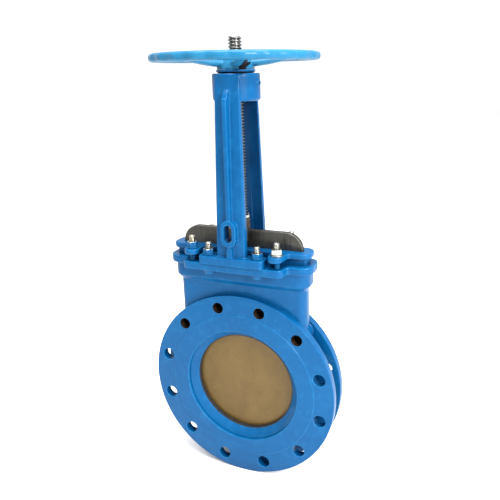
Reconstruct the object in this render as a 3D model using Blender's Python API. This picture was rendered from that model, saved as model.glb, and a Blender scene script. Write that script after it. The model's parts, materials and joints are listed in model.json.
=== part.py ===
"""Knife gate valve with a rising stem, closed, in metres.

X runs across the pipe, Y along it and Z up. The origin is the centre of the port, in the middle of the gate.
"""

import math

import bmesh
import bpy
from mathutils import Matrix, Vector

GAP = 0.0003  # between pieces that touch

# Pipe flanges
FACE_TO_FACE = 0.070
RAISED_FACE_R = 0.160
RAISED_FACE_H = 0.0015
FLANGE_R = 0.2025
FLANGE_BACK = 0.0165
PCD_R = 0.1775
BOLT_COUNT = 12
FIRST_HOLE_DEG = 15
BOLT_HOLE_R = 0.013
TAPPED_HOLE_R = 0.0108
TAPPED_HOLE_END = 0.0125
TAPPED_ANGLES = (45, 75, 105, 135)
TAPPED_BOSS = (0.0175, 0.0275)
LUG_ANGLE = 285
LUG_HOLE_END = 0.0135

# Port, seats and the slot that the gate runs in
PORT_R = 0.1238
RETAINER_Y = 0.0262
RETAINER_BORE_R = 0.1092
RETAINER_NOSE_Y = 0.0150
SEAT_BORE_R = 0.1068
SEAT_LIP_Y = 0.0147
SEAT_POCKET_R = 0.1260
SEAT_POCKET_Y = 0.0123
SLOT_HALF_X = 0.1318
SLOT_HALF_Y = 0.0080
SLOT_TOP_Z = 0.240
CHEST_HALF_X = 0.1395
CHEST_HALF_Y = 0.0200
CHEST_EDGE_R = 0.0160
CHEST_TOP_Z = 0.250

# Stuffing box and the flange on top of it
NECK_FOOT_Z = 0.222
NECK_Z = 0.2335
NECK_HALF = (0.1475, 0.0290)
NECK_EDGE_R = 0.0220
BOX_FLOOR_Z = 0.2315
BOX_HALF_X = 0.1411
BOX_HALF_Y = 0.0166
BONNET_Z = (0.262, 0.277)
BONNET_QUARTER = ((0.1060, -0.0610, 0.0120), (0.1085, -0.0345, 0.0060), (0.1555, -0.0345, 0.0240))
BOSS_R = 0.0112
STUD_HOLE_Z = 0.2560

# Gate
GATE_HALF_X = 0.1305
GATE_HALF_Y = 0.0060
GATE_TOP_Z = 0.337
GATE_CORNER_R = 0.035
GATE_EDGE = 0.0010

# Gland and packing
PACKING_HALF_X = 0.1308
PACKING_HALF_Y = 0.0063
PACKING_Z = ((0.2384, 0.2473), (0.2476, 0.2565), (0.2568, 0.2657))
SCRAPER_Z = (0.2318, 0.2381)
GLAND_Z = (0.2905, 0.3015)
GLAND_QUARTER = (
    (0.0715, -0.0250, 0.0060),
    (0.0765, -0.0605, 0.0130),
    (0.1035, -0.0605, 0.0130),
    (0.1075, -0.0250, 0.0060),
    (0.1500, -0.0250, 0.0200),
)
GLAND_NOSE_Z = 0.2660
GLAND_SLOT_HALF = (0.1318, 0.0072)
GLAND_STUD_XY = (0.091, 0.042)
GLAND_STUD_Z = (0.2565, 0.3265)
GLAND_WASHER_Z = (0.3018, 0.3040)
GLAND_NUT_Z = (0.3043, 0.3146)

# Yoke
FOOT_Z = (0.2773, 0.293)
FOOT_HALF = (0.0685, 0.0170)
YOKE_STUD_XY = (0.052, 0.047)
YOKE_STUD_Z = (0.2570, 0.3175)
YOKE_WASHER_Z = (0.2933, 0.2957)
YOKE_NUT_Z = (0.2960, 0.3052)
LEG_LAYERS = (  # half width, inner face, outer face, height
    (0.0305, 0.0410, 0.0555, 0.280),
    (0.0302, 0.0408, 0.0548, 0.318),
    (0.0261, 0.0372, 0.0450, 0.585),
    (0.0257, 0.0370, 0.0440, 0.612),
)
RIB_LAYERS = (  # half width, outer face, height
    (0.0075, 0.0640, 0.2800),
    (0.0060, 0.0630, 0.3050),
    (0.0048, 0.0620, 0.3500),
    (0.0047, 0.0592, 0.5750),
    (0.0052, 0.0565, 0.5930),
    (0.0056, 0.0520, 0.6060),
    (0.0050, 0.0440, 0.6150),
)
HEAD_Z = (0.590, 0.6415)
HEAD_R = 0.0455
HEAD_RECESS_R = 0.033
HEAD_RECESS_TOP_Z = 0.616
HEAD_WEB_TOP_Z = 0.622
HEAD_WEB_R = 0.0195
NUT_CHAMBER_R = 0.031
OIL_BOSS = (0.0075, 0.0478, 0.6235)
OIL_HOLE_R = 0.0032
SLOT_CENTRE_Z = 0.342
LEG_SLOT_HALF = (0.0088, 0.0178)
SLOT_RIM_HALF = (0.0160, 0.0265)
CAP_R = 0.037
CAP_FOOT_Z = 0.6360
CAP_TOP_Z = 0.6485
CAP_BORE_R = 0.0200

# Stem and what joins it to the gate
STEM_R = 0.013
STEM_Z = (0.3405, 0.708)
CLEVIS_Z = (0.312, 0.3612)
CLEVIS_HALF = (0.0170, 0.0148)
CLEVIS_CORNER_R = 0.0125
CLEVIS_BOLT_R = 0.004
CLEVIS_BOLT_X = 0.0085
CLEVIS_BOLT_Z = 0.3245
CLEVIS_HEX = 0.013
CLEVIS_HOLE_R = 0.0045
LOCK_NUT_R = 0.0168
LOCK_NUT_Z = (0.3615, 0.367)

# Stem nut
NUT_BORE_R = 0.0133
NUT_BARREL_R = 0.0180
NUT_Z = (0.6175, 0.684)
NUT_FLANGE_Z = (0.625, 0.633)
NUT_FLANGE_R = 0.028
KEY_Z = (0.6513, 0.6692)

# Handwheel
WHEEL_R = 0.160
WHEEL_RIM_Z = 0.671
RIM_HALF_H = 0.0083
RIM_HALF_W = 0.0110
LOBES = 24
LOBE_DEPTH = 0.0013
SPOKES = 5
FIRST_SPOKE_DEG = -56
SPOKE_STATIONS = (  # reach, height, half width, half thickness
    (0.020, 0.6600, 0.0130, 0.0075),
    (0.040, 0.6605, 0.0125, 0.0070),
    (0.062, 0.6625, 0.0118, 0.0064),
    (0.082, 0.6660, 0.0112, 0.0060),
    (0.105, 0.6695, 0.0110, 0.0058),
    (0.145, 0.6710, 0.0115, 0.0060),
)
HUB_R = 0.032
HUB_Z = (0.6488, 0.672)
WHEEL_NUT_Z = (0.6723, 0.6820)

THREAD_R = 0.006
STUD_HOLE_R = 0.0064
CLEAR_HOLE_R = 0.0070
NUT_BORE = 0.0063
WASHER_R = 0.012

BLUE = (0.035, 0.19, 0.48)
WHEEL_BLUE = (0.04, 0.24, 0.56)
DARK_STEEL = (0.16, 0.15, 0.14)
CLEVIS_STEEL = (0.22, 0.20, 0.18)
BRONZE = (0.52, 0.33, 0.12)
THRUST_BRONZE = (0.42, 0.20, 0.09)
GATE_STEEL = (0.30, 0.25, 0.17)
RUBBER = (0.012, 0.012, 0.013)
GRAPHITE = (0.05, 0.05, 0.055)
ZINC = (0.72, 0.73, 0.74)

ALONG_Y = Matrix.Rotation(math.radians(-90), 4, "X")
ALONG_X = Matrix.Rotation(math.radians(90), 4, "Y")
HALF_TURN = Matrix.Rotation(math.pi, 4, "Z")


def clear_scene():
    for obj in list(bpy.data.objects):
        bpy.data.objects.remove(obj, do_unlink=True)


def new_collection(name, helper=False):
    made = bpy.data.collections.new(name)
    bpy.context.scene.collection.children.link(made)
    made.hide_render = helper
    return made


def material(name, colour, roughness, metallic):
    made = bpy.data.materials.new(name)
    made.use_nodes = True
    shader = made.node_tree.nodes["Principled BSDF"]
    shader.inputs["Base Color"].default_value = (*colour, 1)
    shader.inputs["Roughness"].default_value = roughness
    shader.inputs["Metallic"].default_value = metallic
    made.diffuse_color = (*colour, 1)
    return made


def add_object(name, mesh, helper=False):
    obj = bpy.data.objects.new(name, mesh)
    (HELPERS if helper else VALVE).objects.link(obj)
    if helper:
        obj.hide_render = True
        obj.display_type = "WIRE"
    return obj


def mesh_of(name, bm, matrix=None):
    if matrix is not None:
        bm.transform(matrix)
    bmesh.ops.recalc_face_normals(bm, faces=bm.faces)
    mesh = bpy.data.meshes.new(name)
    bm.to_mesh(mesh)
    bm.free()
    return mesh


def lofted(sections):
    """A closed skin through rings of equally many points, flat at both ends."""
    bm = bmesh.new()
    rings = [[bm.verts.new(p) for p in ring] for ring in sections]
    count = len(rings[0])
    for low, high in zip(rings, rings[1:]):
        for i in range(count):
            j = (i + 1) % count
            bm.faces.new((low[i], low[j], high[j], high[i]))
    bm.faces.new(rings[0][::-1])
    bm.faces.new(rings[-1])
    return bm


def turned(profile, steps, closed=False, phase=0.0):
    """A profile of (radius, height) pairs turned about Z; a closed profile makes a ring."""
    bm = bmesh.new()
    turns = [2 * math.pi * (k + phase) / steps for k in range(steps)]
    rings = []
    for radius, height in profile:
        if radius < 1e-7:
            rings.append([bm.verts.new((0, 0, height))])
        else:
            rings.append([bm.verts.new((radius * math.cos(t), radius * math.sin(t), height)) for t in turns])
    pairs = list(zip(rings, rings[1:]))
    if closed:
        pairs.append((rings[-1], rings[0]))
    for one, two in pairs:
        for i in range(steps):
            j = (i + 1) % steps
            corners = [one[i % len(one)], one[j % len(one)], two[j % len(two)], two[i % len(two)]]
            distinct = list(dict.fromkeys(corners))
            if len(distinct) > 2:
                bm.faces.new(distinct)
    return bm


def arc_corners(corners, steps):
    """An outline through (x, y, radius) corners, anticlockwise, with every corner turned into an arc."""
    ring = []
    for i, (x, y, radius) in enumerate(corners):
        here = Vector((x, y))
        back = (Vector(corners[i - 1][:2]) - here).normalized()
        ahead = (Vector(corners[(i + 1) % len(corners)][:2]) - here).normalized()
        half = back.angle(ahead) / 2
        middle = here + (back + ahead).normalized() * (radius / math.sin(half))
        reach = radius / math.tan(half)
        first, last = here + back * reach - middle, here + ahead * reach - middle
        start = math.atan2(first.y, first.x)
        sweep = (math.atan2(last.y, last.x) - start + math.pi) % (2 * math.pi) - math.pi
        for k in range(steps + 1):
            turn = start + sweep * k / steps
            ring.append((middle.x + radius * math.cos(turn), middle.y + radius * math.sin(turn)))
    return ring


def inset(ring, distance):
    """The anticlockwise outline moved inwards."""
    result = []
    for i, (x, y) in enumerate(ring):
        (ax, ay), (bx, by) = ring[i - 1], ring[(i + 1) % len(ring)]
        length = math.hypot(bx - ax, by - ay)
        result.append((x - (by - ay) / length * distance, y + (bx - ax) / length * distance))
    return result


def plate(ring, z_range, edge=0.0):
    """An outline with height and, if edge is set, softened rims."""
    low, high = z_range
    layers = ((0, low), (0, high))
    if edge:
        layers = ((edge, low), (0, low + edge), (0, high - edge), (edge, high))
    return lofted([[(x, y, z) for x, y in inset(ring, e)] for e, z in layers])


def rounded_rect(half_x, half_y, radius, steps=4):
    corners = [(sx * half_x, sy * half_y, radius) for sx, sy in ((1, -1), (1, 1), (-1, 1), (-1, -1))]
    return arc_corners(corners, steps)


def rounded_plate(half_x, half_y, radius, z_range, edge=0.0, steps=4):
    return plate(rounded_rect(half_x, half_y, radius, steps), z_range, edge)


def mirrored(quarter):
    """All the corners of an outline, from those of its lower right quarter."""
    right = list(quarter) + [(x, -y, r) for x, y, r in reversed(quarter)]
    return right + [(-x, y, r) for x, y, r in reversed(right)]


def cylinder(radius, low, high, steps=24, edge=0.0, phase=0.0):
    profile = [(0, low), (radius, low), (radius, high), (0, high)]
    if edge:
        profile[1:3] = [(radius - edge, low), (radius, low + edge)]
        profile[3:3] = [(radius, high - edge), (radius - edge, high)]
    return turned(profile, steps, phase=phase)


def hexagon(across_flats, low, high):
    """A hexagon bar with its corners taken off at the top."""
    corner = across_flats / math.sqrt(3)
    turns = [math.pi / 3 * k for k in range(6)]
    bevel = corner * 0.07
    layers = ((corner, low), (corner, high - bevel), (corner - bevel, high))
    return lofted([[(r * math.cos(t), r * math.sin(t), z) for t in turns] for r, z in layers])


def moved(x, y, z=0.0):
    return Matrix.Translation((x, y, z))


def helper(name, bm, matrix=None):
    return add_object(name, mesh_of(name, bm, matrix), helper=True)


def combine(obj, other, operation):
    step = obj.modifiers.new(operation.title(), "BOOLEAN")
    step.operation = operation
    step.solver = "EXACT"
    step.object = other


def join(obj, *parts):
    for part in parts:
        combine(obj, part, "UNION")


def cut(obj, *parts):
    for part in parts:
        combine(obj, part, "DIFFERENCE")


def finish(obj, mat, smooth_deg=35):
    """Applies the modifiers and gives the object its material and shading."""
    bpy.context.view_layer.update()
    graph = bpy.context.evaluated_depsgraph_get()
    made = bpy.data.meshes.new_from_object(obj.evaluated_get(graph))
    obj.modifiers.clear()
    made.name = obj.name
    obj.data = made
    made.materials.clear()
    made.materials.append(MATERIALS[mat])
    made.shade_smooth()
    made.set_sharp_from_angle(angle=math.radians(smooth_deg))
    return obj


def node(name, bm, mat, matrix=None):
    """One finished piece without any cuts."""
    return finish(add_object(name, mesh_of(name, bm, matrix)), mat)


def corners_of(xy):
    x, y = xy
    return {"front_left": (-x, -y), "front_right": (x, -y), "rear_left": (-x, y), "rear_right": (x, y)}


def at_angle(degrees, radius):
    turn = math.radians(degrees)
    return radius * math.cos(turn), radius * math.sin(turn)


def merged(name, *meshes):
    """Several separate cutters as one helper."""
    whole = bmesh.new()
    for bm, matrix in meshes:
        if matrix is not None:
            bm.transform(matrix)
        part = bpy.data.meshes.new("part")
        bmesh.ops.recalc_face_normals(bm, faces=bm.faces)
        bm.to_mesh(part)
        bm.free()
        whole.from_mesh(part)
        bpy.data.meshes.remove(part)
    return helper(name, whole)


# Body


def flange_disc():
    """One pipe flange with its raised face, as a profile along the pipe."""
    face = FACE_TO_FACE / 2
    rim = face - RAISED_FACE_H
    profile = [
        (0, -face),
        (RAISED_FACE_R, -face),
        (RAISED_FACE_R + RAISED_FACE_H, -rim),
        (FLANGE_R, -rim),
        (FLANGE_R, -FLANGE_BACK),
        (0, -FLANGE_BACK),
    ]
    return turned(profile, 64)


def half_round_below(half, y, top_z, steps=28):
    """An upright outline across the pipe: straight sides to top_z and a half circle below the port."""
    turns = [math.pi * k / steps for k in range(steps + 1)]
    arc = [(half * math.cos(t), y, -half * math.sin(t)) for t in turns]
    return [(half, y, top_z), *arc, (-half, y, top_z)]


def chest():
    """The narrow box round the gate, with rolled sides."""
    flat = CHEST_HALF_Y - CHEST_EDGE_R
    turns = [math.pi / 2 * k / 2 for k in range(3)]
    layers = [(-flat - CHEST_EDGE_R * math.cos(t), CHEST_EDGE_R * (1 - math.sin(t))) for t in turns]
    layers += [(-y, inward) for y, inward in reversed(layers)]
    return lofted([half_round_below(CHEST_HALF_X - inward, y, CHEST_TOP_Z) for y, inward in layers])


def gate_slot_cutter():
    ends = (-SLOT_HALF_Y, SLOT_HALF_Y)
    return lofted([half_round_below(SLOT_HALF_X, y, SLOT_TOP_Z) for y in ends])


def port_cutter():
    """The port right through, widened on both sides of the gate for the seats."""
    far = 0.05
    profile = [(0, -far), (PORT_R, -far), (PORT_R, -SEAT_POCKET_Y), (SEAT_POCKET_R, -SEAT_POCKET_Y)]
    profile += [(radius, -y) for radius, y in reversed(profile)]
    return turned(profile, 64, phase=0.4)


def neck():
    """The wider top of the chest, which holds the packing."""
    start = (CHEST_HALF_X - 0.0006, CHEST_HALF_Y - 0.0006, CHEST_EDGE_R, NECK_FOOT_Z)
    layers = (start, (*NECK_HALF, NECK_EDGE_R, NECK_Z), (*NECK_HALF, NECK_EDGE_R, 0.2705))
    return lofted([[(x, y, z) for x, y in rounded_rect(*shape)] for *shape, z in layers])


def body_casting():
    body = add_object("body_casting", mesh_of("body", chest()))
    join(
        body,
        helper("flange_front", flange_disc(), ALONG_Y.inverted()),
        helper("flange_rear", flange_disc(), ALONG_Y),
        helper("neck", neck()),
        helper("bonnet", plate(arc_corners(mirrored(BONNET_QUARTER), 4), BONNET_Z, 0.001)),
    )
    for tag, spot in corners_of(YOKE_STUD_XY).items():
        join(body, helper("stud_boss_" + tag, cylinder(BOSS_R, 0.2535, 0.2705, 16), moved(*spot)))
    radius, depth = TAPPED_BOSS
    for degrees in TAPPED_ANGLES:
        x, z = at_angle(degrees, PCD_R)
        boss = cylinder(radius, -depth, depth, 12, phase=0.25)
        join(body, helper(f"hole_boss_{degrees}", boss, moved(x, 0, z) @ ALONG_Y))
    x, z = at_angle(LUG_ANGLE, PCD_R - 0.011)
    turn = Matrix.Rotation(math.radians(90 - LUG_ANGLE), 4, "Y")
    lug = rounded_plate(0.018, depth, 0.004, (-0.032, 0.028))
    join(body, helper("bolt_lug", lug, moved(x, 0, z) @ turn))

    port = helper("port", port_cutter(), ALONG_Y)
    slot = helper("gate_slot", gate_slot_cutter())
    box = helper("packing_box", rounded_plate(BOX_HALF_X, BOX_HALF_Y, 0.004, (BOX_FLOOR_Z, 0.300)))
    cut(body, port, slot, box, flange_hole_cutter(), stud_hole_cutter())
    finish(body, "body_paint")


def flange_hole_cutter():
    """Twelve holes on the bolt circle: through, tapped and stopped by the lug."""
    deep = FACE_TO_FACE / 2 + 0.01
    holes = []
    for k in range(BOLT_COUNT):
        degrees = FIRST_HOLE_DEG + 360 * k // BOLT_COUNT
        x, z = at_angle(degrees, PCD_R)
        place = moved(x, 0, z) @ ALONG_Y
        spans, radius, steps = ((-deep, deep),), BOLT_HOLE_R, 16
        if degrees in TAPPED_ANGLES:
            spans, radius, steps = ((-deep, -TAPPED_HOLE_END), (TAPPED_HOLE_END, deep)), TAPPED_HOLE_R, 12
        elif degrees == LUG_ANGLE:
            spans = ((-deep, -LUG_HOLE_END), (LUG_HOLE_END, deep))
        holes += [(cylinder(radius, *ends, steps, phase=0.4), place) for ends in spans]
    return merged("flange_holes", *holes)


def stud_hole_cutter():
    spots = [*corners_of(YOKE_STUD_XY).values(), *corners_of(GLAND_STUD_XY).values()]
    holes = [(cylinder(STUD_HOLE_R, STUD_HOLE_Z, 0.285, 12, phase=0.3), moved(*spot)) for spot in spots]
    return merged("stud_holes", *holes)


def seats():
    """A rubber seat on each side of the gate, its lip held in a tapered ring in the port."""
    outer, inner = PORT_R - 2 * GAP, RETAINER_BORE_R
    retainer = [(inner, -RETAINER_NOSE_Y), (outer - 0.0008, -RETAINER_Y), (outer, -RETAINER_Y)]
    retainer += [(outer, -SEAT_POCKET_Y), (inner, -SEAT_POCKET_Y)]
    near, far, wide = SEAT_POCKET_Y - GAP, GATE_HALF_Y + GAP + 0.0001, SEAT_POCKET_R - 2 * GAP
    lip = inner - GAP
    seal = [(SEAT_BORE_R, -SEAT_LIP_Y), (lip, -SEAT_LIP_Y), (lip, -near), (wide, -near), (wide, -far)]
    seal.append((SEAT_BORE_R, -far))
    for side, facing in (("front", ALONG_Y), ("rear", ALONG_Y.inverted())):
        node(f"seat_retainer_{side}", turned(retainer, 48, closed=True), "body_paint", facing)
        node(f"seat_seal_{side}", turned(seal, 48, closed=True), "seat_rubber", facing)


# Gate, packing and gland


def gate_outline(y, inward=0.0):
    half = GATE_HALF_X - inward
    middle_x, middle_z = half - GATE_CORNER_R, GATE_TOP_Z - inward - GATE_CORNER_R
    turns = [math.pi / 2 * k / 6 for k in range(7)]
    ring = [
        (middle_x + GATE_CORNER_R * math.cos(t), y, middle_z + GATE_CORNER_R * math.sin(t)) for t in turns
    ]
    ring += [(-x, y, z) for x, y, z in reversed(ring)]
    turns = [math.pi + math.pi * k / 32 for k in range(33)]
    return ring + [(half * math.cos(t), y, half * math.sin(t)) for t in turns]


def gate():
    inner = GATE_HALF_Y - GATE_EDGE
    layers = ((GATE_HALF_Y, GATE_EDGE), (inner, 0), (-inner, 0), (-GATE_HALF_Y, GATE_EDGE))
    sheet = add_object("gate_plate", mesh_of("gate", lofted([gate_outline(*layer) for layer in layers])))
    cut(sheet, merged("gate_holes", *clevis_bolt_holes()))
    finish(sheet, "gate_steel")


def clevis_bolt_holes():
    places = [moved(x, 0, CLEVIS_BOLT_Z) @ ALONG_Y for x in (-CLEVIS_BOLT_X, CLEVIS_BOLT_X)]
    return [(cylinder(CLEVIS_HOLE_R, -0.03, 0.03, 14), place) for place in places]


def packing():
    """Rectangular rings round the gate: a scraper below three packing rings."""
    outer = (BOX_HALF_X - GAP, BOX_HALF_Y - GAP, 0.0035)
    pieces = [("scraper_ring", SCRAPER_Z, "bronze", 0.0004)]
    pieces += [(f"packing_ring_{n + 1}", span, "packing", 0.0012) for n, span in enumerate(PACKING_Z)]
    for name, (low, high), mat, edge in pieces:
        ring = add_object(name, mesh_of(name, rounded_plate(*outer, (low, high), edge, 3)))
        hole = rounded_plate(PACKING_HALF_X, PACKING_HALF_Y, 0.0015, (low - 0.01, high + 0.01), 0, 2)
        cut(ring, helper(name + "_hole", hole))
        finish(ring, mat)


def gland():
    top = GLAND_Z[1]
    follower = add_object(
        "gland", mesh_of("gland", plate(arc_corners(mirrored(GLAND_QUARTER), 4), GLAND_Z, 0.0015))
    )
    nose = rounded_plate(BOX_HALF_X - GAP, BOX_HALF_Y - GAP, 0.0036, (GLAND_NOSE_Z, top - 0.004), 0, 3)
    join(follower, helper("gland_nose", nose))
    holes = [(rounded_plate(*GLAND_SLOT_HALF, 0.002, (0.25, 0.32), 0, 2), None)]
    holes += stud_clearances(GLAND_STUD_XY)
    cut(follower, merged("gland_holes", *holes))
    finish(follower, "body_paint")


def stud_clearances(spread):
    spots = corners_of(spread).values()
    return [(cylinder(CLEAR_HOLE_R, 0.27, 0.32, 14, phase=0.3), moved(*spot)) for spot in spots]


# Fasteners


def stud(name, spot, z_range):
    node(name, cylinder(THREAD_R, *z_range, 12, 0.0008), "zinc", moved(*spot))


def ring_of(name, outer, bore, z_range, spot, mat, steps=16):
    low, high = z_range
    profile = [(bore, low), (outer, low), (outer, high), (bore, high)]
    node(name, turned(profile, steps, closed=True), mat, moved(*spot))


def hex_nut(name, across_flats, bore, z_range, spot, steps=12):
    low, high = z_range
    nut = add_object(name, mesh_of(name, hexagon(across_flats, low, high), moved(*spot)))
    cut(nut, helper(name + "_bore", cylinder(bore, low - 0.01, high + 0.01, steps), moved(*spot)))
    finish(nut, "zinc")


def fasteners(owner, spread, stud_z, washer_z, nut_z, across_flats):
    """Four studs with a washer and a nut each."""
    for tag, spot in corners_of(spread).items():
        stud(f"{owner}_stud_{tag}", spot, stud_z)
        ring_of(f"{owner}_washer_{tag}", WASHER_R, THREAD_R + 0.0005, washer_z, spot, "zinc")
        hex_nut(f"{owner}_nut_{tag}", across_flats, NUT_BORE, nut_z, spot)


# Yoke


def leg_plate():
    """The front leg's flat web, leaning in towards the head."""
    soft = 0.002
    sections = []
    for half, near, far, z in LEG_LAYERS:
        right = [(half, -near, z), (half, -far + soft, z), (half - soft, -far, z)]
        sections.append(right + [(-x, y, z) for x, y, z in reversed(right)])
    return lofted(sections)


def leg_rib():
    """The rib down the middle of the front leg, fading out on the head."""
    soft, root = 0.0012, -0.0385
    sections = []
    for half, far, z in RIB_LAYERS:
        right = [(half + 0.001, root, z), (half, -far + soft, z), (half - soft, -far, z)]
        sections.append(right + [(-x, y, z) for x, y, z in reversed(right)])
    return lofted(sections)


def stadium(half_width, half_height, y_range, steps=6):
    """An upright slot shape, round at both ends, with depth along the pipe."""
    turns = [math.pi * k / steps for k in range(steps + 1)]
    shoulder = half_height - half_width
    ring = [(half_width * math.cos(t), shoulder + half_width * math.sin(t)) for t in turns]
    ring += [(-x, -z) for x, z in ring]
    return lofted([[(x, y, z) for x, z in ring] for y in y_range])


def yoke_head():
    low, high = HEAD_Z
    profile = [
        (0, low),
        (HEAD_R - 0.006, low),
        (HEAD_R, low + 0.010),
        (HEAD_R, high - 0.004),
        (HEAD_R - 0.003, high),
        (0, high),
    ]
    return turned(profile, 36)


def yoke():
    frame = add_object("yoke", mesh_of("yoke", yoke_head()))
    for side, turn in (("front", Matrix.Identity(4)), ("rear", HALF_TURN)):
        foot = rounded_plate(*FOOT_HALF, 0.0080, FOOT_Z, 0.0015)
        join(
            frame,
            helper("leg_plate_" + side, leg_plate(), turn),
            helper("leg_rib_" + side, leg_rib(), turn),
            helper("foot_" + side, foot, turn @ moved(0, -YOKE_STUD_XY[1] - 0.0005)),
        )
    at_slot = moved(0, 0, SLOT_CENTRE_Z)
    join(frame, helper("slot_rim", stadium(*SLOT_RIM_HALF, (-0.0650, -0.0500)), at_slot))
    radius, reach, oil_z = OIL_BOSS
    join(frame, helper("oil_boss", cylinder(radius, -reach, reach, 16, 0.001), moved(0, 0, oil_z) @ ALONG_X))
    holes = [(stadium(*LEG_SLOT_HALF, (-0.08, -0.03)), at_slot)]
    holes += stud_clearances(YOKE_STUD_XY)
    holes.append((cylinder(OIL_HOLE_R, 0.020, 0.060, 10), moved(0, 0, oil_z) @ ALONG_X))
    cut(
        frame,
        helper("head_recess", cylinder(HEAD_RECESS_R, 0.580, HEAD_RECESS_TOP_Z, 32, phase=0.3)),
        helper("head_web", cylinder(HEAD_WEB_R, 0.600, 0.640, 24, phase=0.2)),
        helper("nut_chamber", cylinder(NUT_CHAMBER_R, HEAD_WEB_TOP_Z, 0.660, 32, phase=0.6)),
        merged("yoke_holes", *holes),
    )
    finish(frame, "yoke_paint")


def cap():
    """The cap screwed into the head, which holds the stem nut down."""
    seat, top, edge = HEAD_Z[1] + GAP, CAP_TOP_Z, 0.001
    profile = [
        (CAP_BORE_R, CAP_FOOT_Z),
        (NUT_CHAMBER_R - GAP, CAP_FOOT_Z),
        (NUT_CHAMBER_R - GAP, seat),
        (CAP_R - edge, seat),
        (CAP_R, seat + edge),
        (CAP_R, top - edge),
        (CAP_R - edge, top),
        (CAP_BORE_R, top),
    ]
    node("yoke_cap", turned(profile, 32, closed=True), "yoke_paint")


# Stem and the pieces that lift with it


def stem():
    node("stem", cylinder(STEM_R, *STEM_Z, 24, 0.0012), "stem_steel")
    low, high = LOCK_NUT_Z
    edge = 0.0008
    profile = [(STEM_R + GAP, low), (LOCK_NUT_R, low), (LOCK_NUT_R, high - edge)]
    profile += [(LOCK_NUT_R - edge, high), (STEM_R + GAP, high)]
    nut = add_object("stem_lock_nut", mesh_of("lock_nut", turned(profile, 32, closed=True)))
    notch = [(0.0155, -0.002), (0.0195, -0.002), (0.0195, 0.002), (0.0155, 0.002)]
    turns = [Matrix.Rotation(math.pi / 2 * (k + 0.5), 4, "Z") for k in range(4)]
    cut(nut, merged("lock_nut_notches", *[(plate(notch, (low - 0.002, high + 0.002)), t) for t in turns]))
    finish(nut, "zinc")


def clevis():
    """The fork that grips the gate's top edge, screwed on the foot of the stem."""
    shape = rounded_plate(*CLEVIS_HALF, CLEVIS_CORNER_R, CLEVIS_Z, 0.0010, 5)
    block = add_object("stem_clevis", mesh_of("clevis", shape))
    gap = rounded_plate(0.05, GATE_HALF_Y + GAP, 0.0005, (0.30, GATE_TOP_Z + GAP), 0, 1)
    holes = clevis_bolt_holes()
    holes.append((cylinder(STEM_R + GAP, 0.335, 0.37, 24), None))
    cut(block, helper("clevis_gap", gap), merged("clevis_holes", *holes))
    finish(block, "clevis_steel")
    for side, x in (("left", -CLEVIS_BOLT_X), ("right", CLEVIS_BOLT_X)):
        clevis_bolt("clevis_bolt_" + side, x)


def clevis_bolt(name, x):
    """A bolt through the clevis and the gate, with its nut made in one with it."""
    place = moved(x, 0, CLEVIS_BOLT_Z) @ ALONG_Y
    near = CLEVIS_HALF[1] + GAP
    shank = cylinder(CLEVIS_BOLT_R, -near - 0.003, near + 0.0095, 12, 0.0006, phase=0.3)
    bolt = add_object(name, mesh_of(name, shank, place))
    flipped = place @ Matrix.Rotation(math.pi, 4, "X")
    join(
        bolt,
        helper(name + "_head", hexagon(CLEVIS_HEX, near, near + 0.0055), flipped),
        helper(name + "_nut", hexagon(CLEVIS_HEX, near, near + 0.0065), place),
    )
    finish(bolt, "clevis_steel")


# Stem nut and handwheel, which turn


def stem_nut():
    low, high = NUT_Z
    flange_low, flange_high = NUT_FLANGE_Z
    profile = [
        (NUT_BORE_R, low),
        (NUT_BARREL_R, low),
        (NUT_BARREL_R, flange_low),
        (NUT_FLANGE_R, flange_low),
        (NUT_FLANGE_R, flange_high),
        (NUT_BARREL_R, flange_high),
        (NUT_BARREL_R, high - 0.001),
        (NUT_BARREL_R - 0.001, high),
        (NUT_BORE_R, high),
    ]
    nut = add_object("stem_nut", mesh_of("stem_nut", turned(profile, 32, closed=True)))
    low, high = KEY_Z
    keyway = rounded_plate(0.0042, 0.0028, 0.0003, (low - GAP, high + GAP), 0, 1)
    cut(nut, helper("keyway", keyway, moved(0, NUT_BARREL_R)))
    finish(nut, "bronze")
    for name, z_range in (("lower", (0.6223, 0.6247)), ("upper", (0.6333, 0.6357))):
        ring_of("thrust_washer_" + name, 0.0305, 0.0185, z_range, (0, 0), "thrust_bronze", 32)
    key = rounded_plate(0.0039, 0.0040, 0.0003, KEY_Z, 0.0003, 1)
    node("wheel_key", key, "stem_steel", moved(0, NUT_BARREL_R + 0.0015))


def squared(value, power=0.75):
    """Pushes a cosine or sine outwards, so that a round section turns boxier."""
    return math.copysign(abs(value) ** power, value)


def rim():
    """The wheel's rim, with finger lobes round its outside."""
    around, across = LOBES * 3, 8
    middle = WHEEL_R - RIM_HALF_W - LOBE_DEPTH
    bm = bmesh.new()
    rings = []
    for i in range(around):
        turn = 2 * math.pi * i / around
        lobe = LOBE_DEPTH * math.cos(LOBES * turn)
        ring = []
        for k in range(across):
            roll = 2 * math.pi * k / across
            radius = middle + RIM_HALF_W * squared(math.cos(roll)) + lobe * max(0.0, math.cos(roll))
            z = WHEEL_RIM_Z + RIM_HALF_H * squared(math.sin(roll))
            ring.append(bm.verts.new((radius * math.cos(turn), radius * math.sin(turn), z)))
        rings.append(ring)
    for i, ring in enumerate(rings):
        following = rings[(i + 1) % around]
        for k in range(across):
            j = (k + 1) % across
            bm.faces.new((ring[k], following[k], following[j], ring[j]))
    return bm


def spoke():
    """One spoke, rising from the hub and running out level into the rim."""
    turns = [2 * math.pi * k / 8 for k in range(8)]
    return lofted(
        [
            [(reach, half_w * math.cos(t), z + half_h * math.sin(t)) for t in turns]
            for reach, z, half_w, half_h in SPOKE_STATIONS
        ]
    )


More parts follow.
